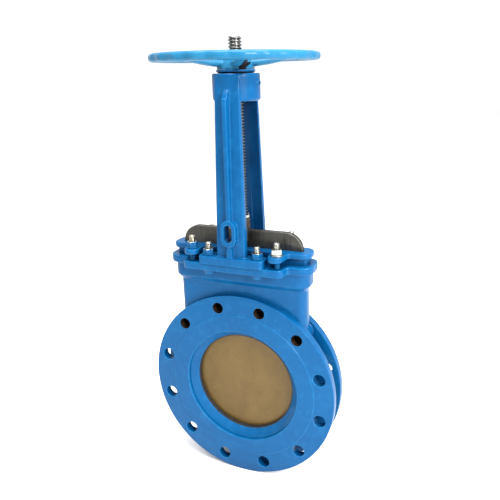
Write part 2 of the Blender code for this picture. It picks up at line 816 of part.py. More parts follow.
def handwheel():
    wheel = add_object("handwheel", mesh_of("handwheel", rim()))
    low, high = HUB_Z
    hub = [
        (0, low),
        (HUB_R + 0.003, low),
        (HUB_R + 0.004, low + 0.002),
        (HUB_R + 0.002, low + 0.012),
        (HUB_R - 0.001, high - 0.002),
        (HUB_R - 0.003, high),
        (0, high),
    ]
    for k in range(SPOKES):
        turn = Matrix.Rotation(math.radians(FIRST_SPOKE_DEG + 360 * k / SPOKES), 4, "Z")
        join(wheel, helper(f"spoke_{k + 1}", spoke(), turn))
    join(wheel, helper("wheel_hub", turned(hub, 32, phase=0.2)))
    keyway = rounded_plate(0.0042, 0.0045, 0.0003, (0.640, 0.690), 0, 1)
    cut(
        wheel,
        helper("hub_bore", cylinder(NUT_BARREL_R + GAP, 0.64, 0.69, 32)),
        helper("hub_keyway", keyway, moved(0, NUT_BARREL_R + 0.0015)),
    )
    finish(wheel, "wheel_paint")
    hex_nut("wheel_nut", 0.046, NUT_BARREL_R + GAP, WHEEL_NUT_Z, (0, 0), 32)
    for name in ("handwheel", "wheel_nut", "stem_nut", "wheel_key"):
        bpy.data.objects[name].data.transform(moved(0, 0, -WHEEL_RIM_Z))
        bpy.data.objects[name].location.z = WHEEL_RIM_Z


clear_scene()
VALVE = new_collection("knife_gate_valve")
HELPERS = new_collection("cutters", helper=True)
MATERIALS = {
    "body_paint": material("body_paint", BLUE, 0.38, 0.0),
    "yoke_paint": material("yoke_paint", BLUE, 0.40, 0.0),
    "wheel_paint": material("wheel_paint", WHEEL_BLUE, 0.34, 0.0),
    "gate_steel": material("gate_steel", GATE_STEEL, 0.42, 1.0),
    "seat_rubber": material("seat_rubber", RUBBER, 0.75, 0.0),
    "packing": material("packing", GRAPHITE, 0.85, 0.0),
    "bronze": material("bronze", BRONZE, 0.38, 1.0),
    "thrust_bronze": material("thrust_bronze", THRUST_BRONZE, 0.45, 1.0),
    "zinc": material("zinc", ZINC, 0.30, 1.0),
    "stem_steel": material("stem_steel", DARK_STEEL, 0.36, 1.0),
    "clevis_steel": material("clevis_steel", CLEVIS_STEEL, 0.50, 1.0),
}
body_casting()
seats()
gate()
packing()
gland()
fasteners("gland", GLAND_STUD_XY, GLAND_STUD_Z, GLAND_WASHER_Z, GLAND_NUT_Z, 0.0185)
fasteners("yoke", YOKE_STUD_XY, YOKE_STUD_Z, YOKE_WASHER_Z, YOKE_NUT_Z, 0.0195)
yoke()
cap()
stem()
clevis()
stem_nut()
handwheel()
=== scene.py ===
"""Knife gate valve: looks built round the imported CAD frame."""

import json
import math

import bmesh
import bpy
import numpy as np
from mathutils import Matrix, Vector

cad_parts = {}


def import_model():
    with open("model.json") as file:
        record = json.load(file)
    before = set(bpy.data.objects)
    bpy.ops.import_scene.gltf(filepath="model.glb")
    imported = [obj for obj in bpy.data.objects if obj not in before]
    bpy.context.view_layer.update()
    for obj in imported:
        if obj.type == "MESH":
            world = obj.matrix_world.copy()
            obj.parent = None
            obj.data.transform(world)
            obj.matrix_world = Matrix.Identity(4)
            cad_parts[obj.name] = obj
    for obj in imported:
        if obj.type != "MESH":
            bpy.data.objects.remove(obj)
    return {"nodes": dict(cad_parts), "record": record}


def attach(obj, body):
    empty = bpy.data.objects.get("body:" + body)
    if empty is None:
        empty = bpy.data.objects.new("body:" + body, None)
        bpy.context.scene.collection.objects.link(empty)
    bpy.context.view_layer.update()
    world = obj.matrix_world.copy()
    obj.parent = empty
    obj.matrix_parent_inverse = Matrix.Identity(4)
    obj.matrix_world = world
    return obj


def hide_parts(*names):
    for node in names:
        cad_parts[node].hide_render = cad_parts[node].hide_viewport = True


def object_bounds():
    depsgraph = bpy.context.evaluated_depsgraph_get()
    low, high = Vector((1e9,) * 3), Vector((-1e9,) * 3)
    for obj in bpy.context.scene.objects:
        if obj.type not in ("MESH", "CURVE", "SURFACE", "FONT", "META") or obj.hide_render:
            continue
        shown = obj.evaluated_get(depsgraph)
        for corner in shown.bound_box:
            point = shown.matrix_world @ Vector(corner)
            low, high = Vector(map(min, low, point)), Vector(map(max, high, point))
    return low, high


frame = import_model()
CAD_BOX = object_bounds()
NODES = frame["nodes"]

GAP = 0.0003

# Pipe flanges
FACE_Y = 0.035
RAISED_FACE_R = 0.160
RAISED_FACE_H = 0.0015
MOUTH_EDGE = 0.0016
FLANGE_R = 0.2025
FLANGE_BACK = 0.0165
FLANGE_CORE = (0.1995, 0.0215, 0.0169)  # radius, front and back of the part cast with the chest
PCD_R = 0.1775
BOLT_HOLE_R = 0.013
TAPPED_HOLE_R = 0.0108
TAPPED_HOLE_END = 0.0125
TAPPED_PITCH = 0.003
TAPPED_ANGLES = (45, 75, 105, 135)
LUG_ANGLE = 285
LUG_HOLE_END = 0.0135
LUG_HALF = (0.018, 0.0275)
LUG_CENTRE_R = 0.1665
TAPPED_BOSS_R = 0.0175
TAPPED_BOSS_END = 0.0275

# Body
PORT_R = 0.1238
RETAINER_Y = 0.0262
RETAINER_BORE_R = 0.1092
RETAINER_NOSE_Y = 0.0150
SEAT_BORE_R = 0.1068
SEAT_LIP_Y = 0.0147
SEAT_POCKET_R = 0.1260
SEAT_POCKET_Y = 0.0123
SLOT_HALF_X = 0.1318
SLOT_HALF_Y = 0.0080
CHEST_HALF_X = 0.1395
CHEST_HALF_Y = 0.0200
CHEST_EDGE_R = 0.0160
NECK_HALF = (0.1475, 0.0290)
BOX_HALF = (0.1411, 0.0166)
BOX_FLOOR_Z = 0.2315
BONNET_Z = (0.262, 0.277)
BONNET_QUARTER = ((0.1060, -0.0610, 0.0120), (0.1085, -0.0345, 0.0060), (0.1555, -0.0345, 0.0240))
BOSS_R = 0.0112
BOSS_Z = (0.2535, 0.2705)

# Gate
GATE_HALF_X = 0.1305
GATE_HALF_Y = 0.0060
GATE_TOP_Z = 0.337
GATE_CORNER_R = 0.035

# Gland
GLAND_Z = (0.2905, 0.3015)
GLAND_QUARTER = (
    (0.0715, -0.0250, 0.0060),
    (0.0765, -0.0605, 0.0130),
    (0.1035, -0.0605, 0.0130),
    (0.1075, -0.0250, 0.0060),
    (0.1500, -0.0250, 0.0200),
)
GLAND_NOSE_Z = 0.2660
GLAND_SLOT_HALF = (0.1318, 0.0072)
GLAND_STUD_XY = (0.091, 0.042)
GLAND_STUD_Z = (0.2565, 0.3265)
GLAND_WASHER_Z = (0.3018, 0.3040)
GLAND_NUT_Z = (0.3043, 0.3146)
GLAND_NUT_FLATS = 0.0185
GLAND_NUT_TURNS = (8, 20, 35, 50)

# Yoke
FOOT_Z = (0.2773, 0.293)
FOOT_HALF = (0.0685, 0.0170)
YOKE_STUD_XY = (0.052, 0.047)
YOKE_STUD_Z = (0.2570, 0.3175)
YOKE_WASHER_Z = (0.2933, 0.2957)
YOKE_NUT_Z = (0.2960, 0.3052)
YOKE_NUT_FLATS = 0.0195
YOKE_NUT_TURNS = (12, 40, 25, 5)
# Half width, near face, far face, height
LEG_LAYERS = (
    (0.0305, 0.0410, 0.0555, 0.280),
    (0.0302, 0.0408, 0.0548, 0.318),
    (0.0261, 0.0372, 0.0450, 0.585),
    (0.0257, 0.0370, 0.0440, 0.612),
    (0.0250, 0.0366, 0.0425, 0.628),
    (0.0235, 0.0362, 0.0394, 0.640),
)
# Half width, far edge, height
RIB_LAYERS = (
    (0.0075, 0.0640, 0.2800),
    (0.0060, 0.0630, 0.3050),
    (0.0048, 0.0620, 0.3500),
    (0.0047, 0.0592, 0.5750),
    (0.0052, 0.0565, 0.5930),
    (0.0056, 0.0520, 0.6060),
    (0.0050, 0.0440, 0.6150),
)
HEAD_Z = (0.590, 0.6415)
HEAD_R = 0.0455
HEAD_RECESS_R = 0.033
HEAD_RECESS_TOP_Z = 0.616
HEAD_WEB_TOP_Z = 0.622
HEAD_WEB_R = 0.0195
NUT_CHAMBER_R = 0.031
OIL_BOSS = (0.0075, 0.0478, 0.6235)  # radius, reach, height
OIL_HOLE_R = 0.0032
SLOT_CENTRE_Z = 0.342
LEG_SLOT_HALF = (0.0088, 0.0178)
SLOT_RIM_HALF = (0.0160, 0.0265)
CAP_R = 0.037
CAP_BORE_R = 0.020
CAP_FOOT_Z = 0.636
CAP_TOP_Z = 0.6485
CAP_GROOVE_R = 0.0345
CAP_GROOVE_TOP_Z = 0.6436
# Below this height the cap is near-black iron, painted shade in its joint with the head.
CAP_SHADE_BELOW_Z = 0.6452

# Stem
STEM_R = 0.013
STEM_Z = (0.3405, 0.708)
STEM_PITCH = 0.006
CLEVIS_Z = (0.312, 0.3612)
CLEVIS_HALF = (0.0170, 0.0148)
CLEVIS_CORNER_R = 0.0125
CLEVIS_BOLT_X = 0.0085
CLEVIS_BOLT_Z = 0.3245
CLEVIS_BOLT_R = 0.004
CLEVIS_BOLT_PITCH = 0.00125
CLEVIS_BOLT_FLATS = 0.013
CLEVIS_BOLT_HOLE_R = 0.0045
LOCK_NUT_R = 0.0168
LOCK_NUT_BORE_R = 0.0133
LOCK_NUT_Z = (0.3615, 0.367)

# Stem nut and handwheel
NUT_BORE_R = 0.0133
NUT_BARREL_R = 0.0180
NUT_Z = (0.6175, 0.684)
NUT_FLANGE_R = 0.028
NUT_FLANGE_Z = (0.625, 0.633)
KEYWAY_HALF_X = 0.0042
WHEEL_R = 0.160
WHEEL_RIM_Z = 0.671
RIM_HALF_H = 0.0083
RIM_HALF_W = 0.0110
LOBES = 24
LOBE_DEPTH = 0.0013
SPOKES = 5
FIRST_SPOKE_DEG = -56
# Distance from the stem, height, half width, half height
SPOKE_STATIONS = (
    (0.020, 0.6600, 0.0130, 0.0075),
    (0.040, 0.6605, 0.0125, 0.0070),
    (0.062, 0.6625, 0.0118, 0.0064),
    (0.082, 0.6660, 0.0112, 0.0060),
    (0.105, 0.6695, 0.0110, 0.0058),
    (0.145, 0.6710, 0.0115, 0.0060),
)
HUB_R = 0.032
HUB_Z = (0.6488, 0.672)
WHEEL_NUT_Z = (0.6723, 0.6820)
WHEEL_NUT_FLATS = 0.046

THREAD_R = 0.006
THREAD_PITCH = 0.00175
THREAD_DEPTH = 0.0011
NUT_HOLE_R = 0.0063
CLEAR_HOLE_R = 0.0070
WASHER_R = 0.012
WASHER_BORE_R = 0.0065
BARE_TIP = 0.0022  # bare metal left at the top of a sprayed nut

ALONG_Y = Matrix.Rotation(math.radians(-90), 4, "X")
ALONG_X = Matrix.Rotation(math.radians(90), 4, "Y")
HALF_TURN = Matrix.Rotation(math.pi, 4, "Z")
SAME = Matrix.Identity(4)


# Node materials


class Nodes:
    """A short way to write a node tree."""

    def __init__(self, name):
        self.mat = bpy.data.materials.new(name)
        self.mat.use_nodes = True
        self.tree = self.mat.node_tree
        self.shader = self.tree.nodes["Principled BSDF"]
        self.place = self.add("ShaderNodeTexCoord").outputs["Object"]

    def add(self, kind, inputs=(), **settings):
        node = self.tree.nodes.new(kind)
        for key, value in settings.items():
            setattr(node, key, value)
        for key, value in dict(inputs).items():
            self.put(node.inputs[key], value)
        return node

    def put(self, socket, value):
        if isinstance(value, bpy.types.NodeSocket):
            self.tree.links.new(value, socket)
        elif isinstance(value, tuple) and len(value) == 3 and socket.type == "RGBA":
            socket.default_value = (*value, 1)
        else:
            socket.default_value = value

    def noise(self, scale, detail=3.0, roughness=0.55, stretch=None, distortion=0.0):
        where = self.place
        if stretch:
            where = self.add("ShaderNodeMapping", {"Vector": self.place, "Scale": stretch}).outputs[0]
        made = self.add(
            "ShaderNodeTexNoise",
            {
                "Vector": where,
                "Scale": scale,
                "Detail": detail,
                "Roughness": roughness,
                "Distortion": distortion,
            },
        )
        return made.outputs["Fac"]

    def ramp(self, value, low, high, out_low=0.0, out_high=1.0):
        made = self.add(
            "ShaderNodeMapRange",
            {"Value": value, "From Min": low, "From Max": high, "To Min": out_low, "To Max": out_high},
        )
        return made.outputs[0]

    def maths(self, operation, one, two=0.5):
        return self.add("ShaderNodeMath", {0: one, 1: two}, operation=operation).outputs[0]

    def axis(self, which):
        return self.add("ShaderNodeSeparateXYZ", {0: self.place}).outputs[which]

    def mix(self, share, one, two):
        made = self.add("ShaderNodeMix", data_type="RGBA")
        self.put(made.inputs["Factor"], share)
        self.put(made.inputs["A"], one)
        self.put(made.inputs["B"], two)
        return made.outputs["Result"]

    def edges(self, radius, low=0.02, high=0.25):
        """Near 1 on sharp edges and 0 on flat ground."""
        soft = self.add("ShaderNodeBevel", {"Radius": radius}, samples=4).outputs[0]
        flat = self.add("ShaderNodeNewGeometry").outputs["Normal"]
        dot = self.add("ShaderNodeVectorMath", {0: soft, 1: flat}, operation="DOT_PRODUCT").outputs["Value"]
        return self.ramp(self.maths("SUBTRACT", 1.0, dot), low, high)

    def crevices(self, reach, low=0.35, high=0.95):
        """Near 1 in tight corners and 0 in the open."""
        shade = self.add("ShaderNodeAmbientOcclusion", {"Distance": reach}, samples=4).outputs["AO"]
        return self.ramp(shade, high, low)

    def bump(self, height, strength, distance, before=None):
        made = self.add("ShaderNodeBump", {"Height": height, "Strength": strength, "Distance": distance})
        if before is not None:
            self.put(made.inputs["Normal"], before)
        return made.outputs[0]

    def done(self, **sockets):
        for key, value in sockets.items():
            self.put(self.shader.inputs[key.replace("_", " ")], value)
        return self.mat


def paint(name, colour, light, dark, grain=1.0):
    """Sprayed enamel over a casting: orange peel, edges painted lighter as a highlight where the thin coat is
    also rougher, and painted shade in corners and recesses.
    """
    n = Nodes(name)
    clouds = n.noise(9, 4, 0.6)
    mottle = n.noise(60, 4, 0.6)
    cast = n.noise(420, 3, 0.6)
    peel = n.noise(1300, 2, 0.5)
    tone = n.mix(n.ramp(clouds, 0.35, 0.65), dark, colour)
    tone = n.mix(n.ramp(mottle, 0.5, 0.78, 0.0, 0.14), tone, light)
    # Painted highlight: edges mixed towards the lighter blue, partly thin-coat wear; the same edges also turn
    # a little rougher.
    rim = n.maths("MULTIPLY", n.edges(0.0016, 0.01, 0.12), n.ramp(mottle, 0.3, 0.6, 0.45, 1.0))
    tone = n.mix(n.maths("MULTIPLY", rim, 0.85), tone, light)
    # Painted shade: darker blue in tight corners, then over a wider reach in recesses and under overhangs.
    tone = n.mix(n.maths("MULTIPLY", n.crevices(0.004), 0.35), tone, (0.001, 0.012, 0.045))
    tone = n.mix(n.maths("MULTIPLY", n.crevices(0.09, 0.20, 0.62), 0.8), tone, (0.0005, 0.022, 0.085))
    rough = n.ramp(n.maths("ADD", clouds, n.maths("MULTIPLY", cast, 0.5)), 0.5, 1.0, 0.26, 0.42)
    rough = n.maths("ADD", rough, n.maths("MULTIPLY", rim, 0.05))
    skin = n.bump(cast, 0.25 * grain, 0.0006)
    skin = n.bump(peel, 0.12, 0.0003, skin)
    return n.done(Base_Color=tone, Roughness=rough, Normal=skin, Coat_Weight=0.05, Coat_Roughness=0.12,
                  Specular_IOR_Level=0.11)


def metal(name, colour, other, rough=(0.25, 0.45), scale=300, bump=0.1, spots=None, worn=None, corner_shade=None):
    """Bare or plated metal with uneven tone, fine scratches, brighter edges and, where asked, painted shade
    in tight corners.
    """
    n = Nodes(name)
    clouds = n.noise(25, 5, 0.65)
    fine = n.noise(scale, 3, 0.6)
    tone = n.mix(n.ramp(clouds, 0.3, 0.7), colour, other)
    tone = n.mix(n.ramp(fine, 0.35, 0.75, 0.0, 0.35), tone, other)
    if spots:
        tone = n.mix(n.ramp(n.noise(160, 4, 0.7), 0.58, 0.72, 0.0, 0.8), tone, spots)
    if worn:
        tone = n.mix(n.maths("MULTIPLY", n.edges(0.0006), 0.8), tone, worn)
    # Painted shade: a dark colour mixed into tight corners.
    if corner_shade:
        tone = n.mix(n.maths("MULTIPLY", n.crevices(0.004), 0.8), tone, corner_shade)
    roughness = n.ramp(n.maths("ADD", fine, clouds), 0.7, 1.3, *rough)
    skin = n.bump(fine, bump, 0.0002)
    return n.done(Base_Color=tone, Metallic=1.0, Roughness=roughness, Normal=skin)


def soft(name, colour, other, scale=200, rough=(0.6, 0.85), bump=0.3):
    """Rubber or graphite."""
    n = Nodes(name)
    grain = n.noise(scale, 4, 0.6)
    tone = n.mix(n.ramp(grain, 0.35, 0.7), colour, other)
    return n.done(
        Base_Color=tone, Roughness=n.ramp(grain, 0.3, 0.7, *rough), Normal=n.bump(grain, bump, 0.0003)
    )


def gate_steel():
    """Ground plate: dull grey-brown above, with a tan film of preservative where it closes the port."""
    n = Nodes("gate_steel")
    x, z = n.axis(0), n.axis(2)
    reach = n.maths("SQRT", n.maths("ADD", n.maths("MULTIPLY", x, x), n.maths("MULTIPLY", z, z)), 0)
    within = n.ramp(reach, 0.150, 0.128)
    streaks = n.noise(700, 3, 0.6, (1, 1, 0.03))
    blotches = n.noise(14, 6, 0.7, distortion=0.6)
    spots = n.noise(90, 5, 0.7)
    film = n.mix(n.ramp(blotches, 0.38, 0.62), (0.112, 0.066, 0.012), (0.088, 0.050, 0.008))
    film = n.mix(n.ramp(spots, 0.55, 0.75, 0.0, 0.5), film, (0.140, 0.085, 0.022))
    bare = n.mix(n.ramp(streaks, 0.3, 0.7), (0.050, 0.049, 0.043), (0.105, 0.103, 0.092))
    bare = n.mix(n.ramp(spots, 0.5, 0.8, 0.0, 0.6), bare, (0.08, 0.065, 0.055))
    tone = n.mix(within, bare, film)
    # Edges mixed near white: partly edge wear, partly a painted highlight.
    tone = n.mix(n.edges(0.0008), tone, (0.75, 0.73, 0.68))
    rough = n.ramp(n.maths("ADD", streaks, spots), 0.7, 1.3, 0.34, 0.58)
    metallic = n.ramp(within, 0, 1, 1.0, 0.35)
    skin = n.bump(streaks, 0.12, 0.0002)
    return n.done(Base_Color=tone, Metallic=metallic, Roughness=rough, Normal=skin)


def shadow_iron():
    """Near-black iron, laid on as a painted shadow under the wheel's first spoke and as painted shade in the
    joint under the yoke cap.
    """
    return metal("shadow_iron", (0.006, 0.012, 0.022), (0.014, 0.010, 0.008), (0.55, 0.75), worn=(0.01, 0.03, 0.06))


def zinc():
    """Bright zinc with a faint yellow and green passivation tint."""
    n = Nodes("zinc")
    clouds = n.noise(70, 4, 0.6)
    tint = n.noise(38, 3, 0.6)
    fine = n.noise(900, 2, 0.6)
    tone = n.mix(n.ramp(clouds, 0.35, 0.65), (0.40, 0.42, 0.40), (0.56, 0.57, 0.55))
    tone = n.mix(n.ramp(tint, 0.45, 0.68, 0.0, 0.75), tone, (0.52, 0.47, 0.28))
    tone = n.mix(n.ramp(tint, 0.46, 0.30, 0.0, 0.6), tone, (0.44, 0.52, 0.44))
    tone = n.mix(n.maths("MULTIPLY", n.edges(0.0005), 0.8), tone, (0.92, 0.92, 0.88))
    # Painted shade: a dark yellow-brown mixed into tight corners.
    tone = n.mix(n.maths("MULTIPLY", n.crevices(0.003), 0.85), tone, (0.10, 0.085, 0.05))
    rough = n.ramp(n.maths("ADD", fine, clouds), 0.7, 1.3, 0.20, 0.36)
    return n.done(Base_Color=tone, Metallic=1.0, Roughness=rough, Normal=n.bump(fine, 0.08, 0.0002))


BLUE = (0.0006, 0.067, 0.187)
BLUE_LIGHT = (0.020, 0.225, 0.46)
BLUE_DARK = (0.0004, 0.059, 0.170)
MATS = {
    "body_paint": paint("body_paint", BLUE, BLUE_LIGHT, BLUE_DARK),
    "yoke_paint": paint("yoke_paint", BLUE, BLUE_LIGHT, BLUE_DARK),
    # A darker blue for the faces between the yoke legs, as painted shade.
    "painted_shade_inside": paint(
        "painted_shade_inside", (0.0004, 0.030, 0.088), (0.003, 0.07, 0.18), (0.0003, 0.018, 0.055)
    ),
    "wheel_paint": paint(
        "wheel_paint", (0.014, 0.125, 0.235), (0.08, 0.25, 0.40), (0.008, 0.100, 0.200), 0.6
    ),
    "gate_steel": gate_steel(),
    "seat_rubber": soft("seat_rubber", (0.003, 0.003, 0.0034), (0.008, 0.008, 0.009)),
    "packing": soft("packing", (0.03, 0.03, 0.034), (0.08, 0.08, 0.085), 500, (0.7, 0.9), 0.8),
    "bronze": metal("bronze", (0.55, 0.36, 0.14), (0.42, 0.27, 0.11), (0.25, 0.4), worn=(0.8, 0.58, 0.3)),
    "thrust_bronze": metal("thrust_bronze", (0.42, 0.20, 0.09), (0.30, 0.15, 0.08), (0.35, 0.5)),
    "zinc": zinc(),
    "stem_steel": metal(
        "stem_steel", (0.26, 0.26, 0.255), (0.12, 0.12, 0.115), (0.20, 0.38), worn=(0.88, 0.88, 0.86),
        corner_shade=(0.008, 0.008, 0.008),
    ),
    "clevis_steel": metal(
        "clevis_steel", (0.10, 0.088, 0.075), (0.06, 0.05, 0.043), (0.4, 0.6), spots=(0.17, 0.06, 0.025),
        worn=(0.4, 0.38, 0.35), corner_shade=(0.03, 0.022, 0.016),
    ),
}
# Bare threads in the tapped holes, their iron darkened near black, partly as painted shade of the holes.
MACHINED = metal(
    "machined_iron", (0.016, 0.008, 0.005), (0.005, 0.004, 0.003), (0.45, 0.65), worn=(0.07, 0.036, 0.02),
    corner_shade=(0.004, 0.003, 0.003),
)
# Near-black iron for painted shadow and shade.
SHADOW_IRON = shadow_iron()

SLOT_OF = {row["node"]: row["material_slot"] for row in frame["record"]["subparts"]}
BODY_OF = {node: body for body, nodes in frame["record"]["behaviour"]["bodies"].items() for node in nodes}
for name, obj in NODES.items():
    obj.data.materials.clear()
    obj.data.materials.append(MATS[SLOT_OF[name]])


# Shapes


def arc_corners(corners, steps):
    """An outline through (x, y, radius) corners, with every corner turned into an arc."""
    ring = []
    for i, (x, y, radius) in enumerate(corners):
        if not radius:
            ring.append((x, y))
            continue
        here = Vector((x, y))
        back = (Vector(corners[i - 1][:2]) - here).normalized()
        ahead = (Vector(corners[(i + 1) % len(corners)][:2]) - here).normalized()
        half = back.angle(ahead) / 2
        middle = here + (back + ahead).normalized() * (radius / math.sin(half))
        reach = radius / math.tan(half)
        first, last = here + back * reach - middle, here + ahead * reach - middle
        start = math.atan2(first.y, first.x)
        sweep = (math.atan2(last.y, last.x) - start + math.pi) % (2 * math.pi) - math.pi
        for k in range(steps + 1):
            turn = start + sweep * k / steps
            ring.append((middle.x + radius * math.cos(turn), middle.y + radius * math.sin(turn)))
    return ring


def inset(ring, distance):
    """The anticlockwise outline moved inwards."""
    result = []
    for i, (x, y) in enumerate(ring):
        (ax, ay), (bx, by) = ring[i - 1], ring[(i + 1) % len(ring)]
        length = math.hypot(bx - ax, by - ay)
        result.append((x - (by - ay) / length * distance, y + (bx - ax) / length * distance))
    return result


def mirrored(quarter):
    right = list(quarter) + [(x, -y, r) for x, y, r in reversed(quarter)]
    return right + [(-x, y, r) for x, y, r in reversed(right)]


def mesh_of(bm, matrix=None):
    if matrix is not None:
        bm.transform(matrix)
    bmesh.ops.recalc_face_normals(bm, faces=bm.faces)
    mesh = bpy.data.meshes.new("shape")
    bm.to_mesh(mesh)
    bm.free()
    return mesh


def skin(rings, closed=False, capped=True, matrix=None):
    """Quads between rings of equally many points; a one-point ring closes to a tip."""
    bm = bmesh.new()
    rings = [[bm.verts.new(p) for p in ring] for ring in rings]
    pairs = list(zip(rings, rings[1:]))
    if closed:
        pairs.append((rings[-1], rings[0]))
    for one, two in pairs:
        steps = max(len(one), len(two))
        for i in range(steps):
            j = (i + 1) % steps
            corners = [one[i % len(one)], one[j % len(one)], two[j % len(two)], two[i % len(two)]]
            distinct = list(dict.fromkeys(corners))
            if len(distinct) > 2:
                bm.faces.new(distinct)
    if capped and not closed:
        for ring in (rings[0], rings[-1]):
            if len(ring) > 2:
                bm.faces.new(ring)
    return mesh_of(bm, matrix)


def circle(radius, z, steps, phase=0.0):
    if radius < 1e-7:
        return [(0, 0, z)]
    turns = [2 * math.pi * (k + phase) / steps for k in range(steps)]
    return [(radius * math.cos(t), radius * math.sin(t), z) for t in turns]


def turned(corners, steps, matrix=None, closed=True, arc=4, phase=0.0):
    """(radius, height, corner radius) points turned about Z."""
    profile = arc_corners(corners, arc)
    rings = [circle(max(radius, 0), z, steps, phase) for radius, z in profile]
    return skin(rings, closed=closed, matrix=matrix)


def rod(radius, low, high, steps=48, edge=0.0, matrix=None, phase=0.0):
    corners = [(0, low, 0), (radius, low, edge), (radius, high, edge), (0, high, 0)]
    return turned(corners, steps, matrix, closed=False, phase=phase)


def plate(ring, z_range, edge=0.0, matrix=None, steps=3):
    """An outline with height and rounded rims."""
    low, high = z_range
    layers = [(0, low), (0, high)]
    if edge:
        turns = [math.pi / 2 * k / steps for k in range(steps + 1)]
        layers = [(edge * (1 - math.sin(t)), low + edge * (1 - math.cos(t))) for t in turns]
        layers += [(e, low + high - z) for e, z in reversed(layers)]
    return skin([[(x, y, z) for x, y in inset(ring, e)] for e, z in layers], matrix=matrix)


def rect(half_x, half_y, radius, steps=8):
    corners = [(sx * half_x, sy * half_y, radius) for sx, sy in ((1, -1), (1, 1), (-1, 1), (-1, -1))]
    return arc_corners(corners, steps)


def moved(x, y, z=0.0):
    return Matrix.Translation((x, y, z))


def at_angle(degrees, radius):
    turn = math.radians(degrees)
    return radius * math.cos(turn), radius * math.sin(turn)


def corners_of(xy):
    x, y = xy
    return {"front_left": (-x, -y), "front_right": (x, -y), "rear_left": (-x, y), "rear_right": (x, y)}


def stud_holes(spread, z_range):
    """Cutters for the clearance holes round four studs."""
    return [rod(CLEAR_HOLE_R, *z_range, 40, matrix=moved(*spot)) for spot in corners_of(spread).values()]


def clevis_bolt_holes():
    """A cutter for the two bolt holes through the clevis and the gate."""
    return together([
        rod(CLEVIS_BOLT_HOLE_R, -0.03, 0.03, 32, matrix=moved(x, 0, CLEVIS_BOLT_Z) @ ALONG_Y)
        for x in (-CLEVIS_BOLT_X, CLEVIS_BOLT_X)
    ])


def together(meshes):
    """One mesh from several."""
    whole = bmesh.new()
    for mesh in meshes:
        whole.from_mesh(mesh)
        bpy.data.meshes.remove(mesh)
    mesh = bpy.data.meshes.new("shape")
    whole.to_mesh(mesh)
    whole.free()
    return mesh


def worked(mesh, *steps):
    """The mesh after (kind, settings) modifiers."""
    obj = bpy.data.objects.new("working", mesh)
    bpy.context.scene.collection.objects.link(obj)
    others = []
    for kind, settings in steps:
        step = obj.modifiers.new(kind, kind)
        for key, value in settings.items():
            if key == "object":
                other = bpy.data.objects.new("tool", value)
                bpy.context.scene.collection.objects.link(other)
                others.append(other)
                value = other
            setattr(step, key, value)
    bpy.context.view_layer.update()
    made = bpy.data.meshes.new_from_object(obj.evaluated_get(bpy.context.evaluated_depsgraph_get()))
    for used in (obj, *others):
        bpy.data.objects.remove(used)
    return made


def boolean(operation, mesh, solver="MANIFOLD"):
    return ("BOOLEAN", {"operation": operation, "solver": solver, "object": mesh})


def cast(meshes, voxel, passes=6, keep=1.0):
    """Overlapping solids run together as a casting, with rounded edges and fillets."""
    steps = [
        ("REMESH", {"mode": "VOXEL", "voxel_size": voxel, "use_smooth_shade": True}),
        ("SMOOTH", {"factor": 0.5, "iterations": passes}),
    ]
    if keep < 1:
        steps.append(("DECIMATE", {"ratio": keep}))
    return worked(together(meshes), *steps)


def piece(name, mesh, nodes, sharp=30, second=None, where=None):
    """One finished piece that stands for CAD nodes; faces picked by where() take the second material."""
    slot = SLOT_OF[nodes[0]]
    mesh.materials.clear()
    mesh.materials.append(MATS[slot])
    mesh.name = name
    mesh.shade_smooth()
    if sharp:
        mesh.set_sharp_from_angle(angle=math.radians(sharp))
    index = np.zeros(len(mesh.polygons), np.int32)
    if second is not None:
        mesh.materials.append(second)
        centres = np.zeros(len(mesh.polygons) * 3)
        mesh.polygons.foreach_get("center", centres)
        index[where(centres.reshape(-1, 3))] = 1
    mesh.polygons.foreach_set("material_index", index)
    obj = bpy.data.objects.new(name, mesh)
    bpy.context.scene.collection.objects.link(obj)
    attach(obj, BODY_OF[nodes[0]])
    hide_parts(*nodes)
    return obj


# Body


def half_round_below(half, y, top_z, steps=96):
    turns = [math.pi * k / steps for k in range(steps + 1)]
    arc = [(half * math.cos(t), y, -half * math.sin(t)) for t in turns]
    return [(half, y, top_z), *arc, (-half, y, top_z)]


def chest():
    """The narrow box round the gate, with rolled sides."""
    flat = CHEST_HALF_Y - CHEST_EDGE_R
    turns = [math.pi / 2 * k / 8 for k in range(9)]
    layers = [(-flat - CHEST_EDGE_R * math.cos(t), CHEST_EDGE_R * (1 - math.sin(t))) for t in turns]
    layers += [(-y, inward) for y, inward in reversed(layers)]
    return skin([half_round_below(CHEST_HALF_X - inward, y, 0.250) for y, inward in layers])


def neck():
    start = (CHEST_HALF_X - 0.0006, CHEST_HALF_Y - 0.0006, CHEST_EDGE_R, 0.222)
    layers = (start, (*NECK_HALF, 0.022, 0.2335), (*NECK_HALF, 0.022, 0.2705))
    return skin([[(x, y, z) for x, y in rect(*shape)] for *shape, z in layers])


def flange(facing):
    """One machined flange, its raised face and its port, turned along the pipe."""
    rim = FACE_Y - RAISED_FACE_H
    corners = [
        (PORT_R, -FACE_Y + MOUTH_EDGE, 0),
        (PORT_R + MOUTH_EDGE, -FACE_Y, 0),
        (RAISED_FACE_R, -FACE_Y, 0.0003),
        (RAISED_FACE_R + RAISED_FACE_H, -rim, 0.0007),
        (FLANGE_R, -rim, 0.0012),
        (FLANGE_R, -FLANGE_BACK, 0.0012),
        (PORT_R + 0.02, -FLANGE_BACK, 0),
        (PORT_R, -FLANGE_BACK, 0),
    ]
    return turned(corners, 256, facing)


def hole_tool(radius, near, far, edge, steps=48, pitch=0.0):
    """A cutter for one hole from the flange face inwards, with a chamfer and, if pitch is set, a thread."""
    profile = [(0, near - 0.004), (radius + edge + 0.004, near - 0.004), (radius, near + edge)]
    if pitch:
        z, step, flip = near + edge + pitch / 2, pitch / 2, True
        while z < far - pitch:
            profile.append((radius + (0.0012 if flip else -0.0003), z))
            z, flip = z + step, not flip
    profile += [(radius, far), (0, far + radius * 0.25)]
    return [circle(r, z, steps, 0.3) for r, z in profile]


